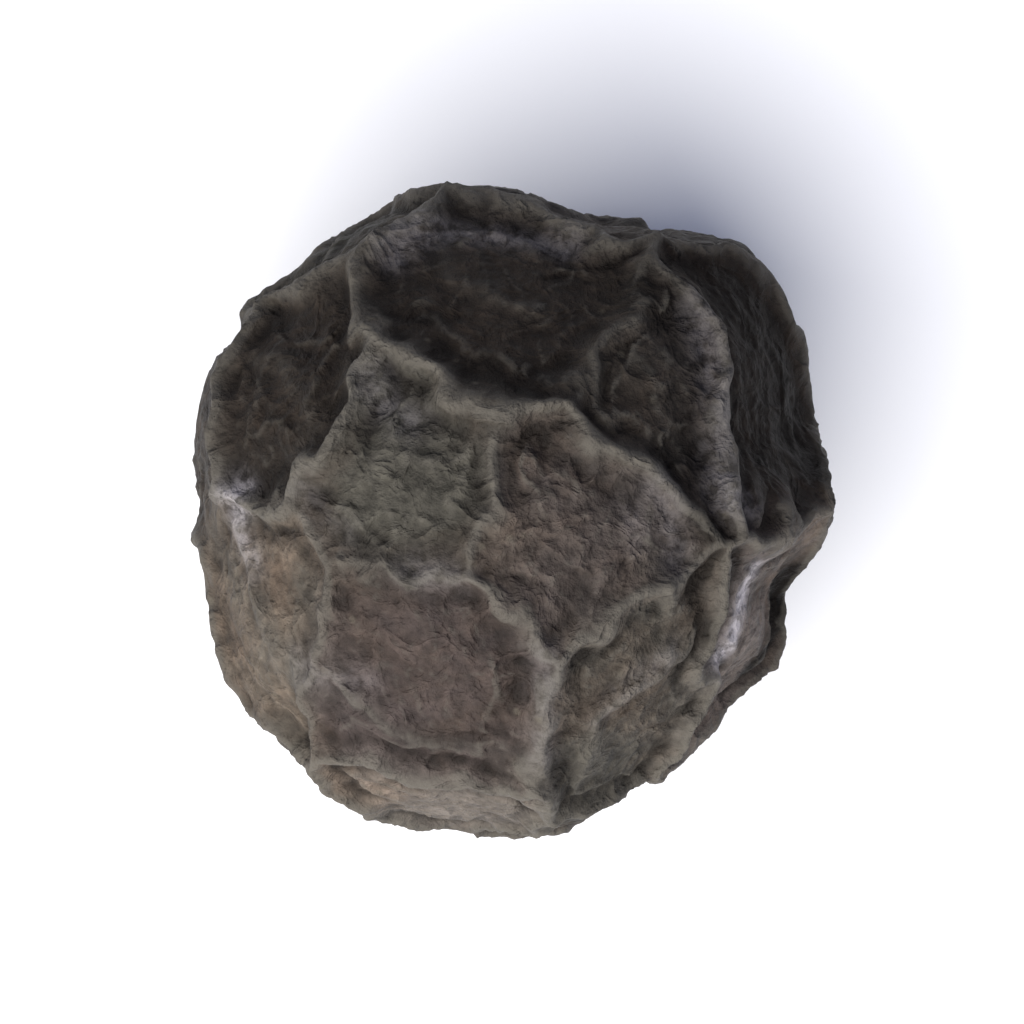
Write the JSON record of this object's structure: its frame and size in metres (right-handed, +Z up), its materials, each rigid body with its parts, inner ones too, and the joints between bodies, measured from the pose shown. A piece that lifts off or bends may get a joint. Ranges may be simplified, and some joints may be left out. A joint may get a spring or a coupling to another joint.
{
  "type": "black peppercorn",
  "caption": "Dried black pepper berry, nearly round, its skin wrinkled into a raised net of ridges round sunk floors, resting on a small flat spot.",
  "frame": {"origin": "bottom centre of the box round the berry, on the flat spot that it rests on", "axes": "+Z up out of the surface that it rests on; +Y along its longest extent"},
  "size_m": [0.0046, 0.0048, 0.0044],
  "materials": {
    "dried_skin": "dry matt charcoal skin with a faint sheen, paler along the ridges"
  },
  "bodies": {
    "root": {"peppercorn": "dried_skin"}
  },
  "joints": []
}
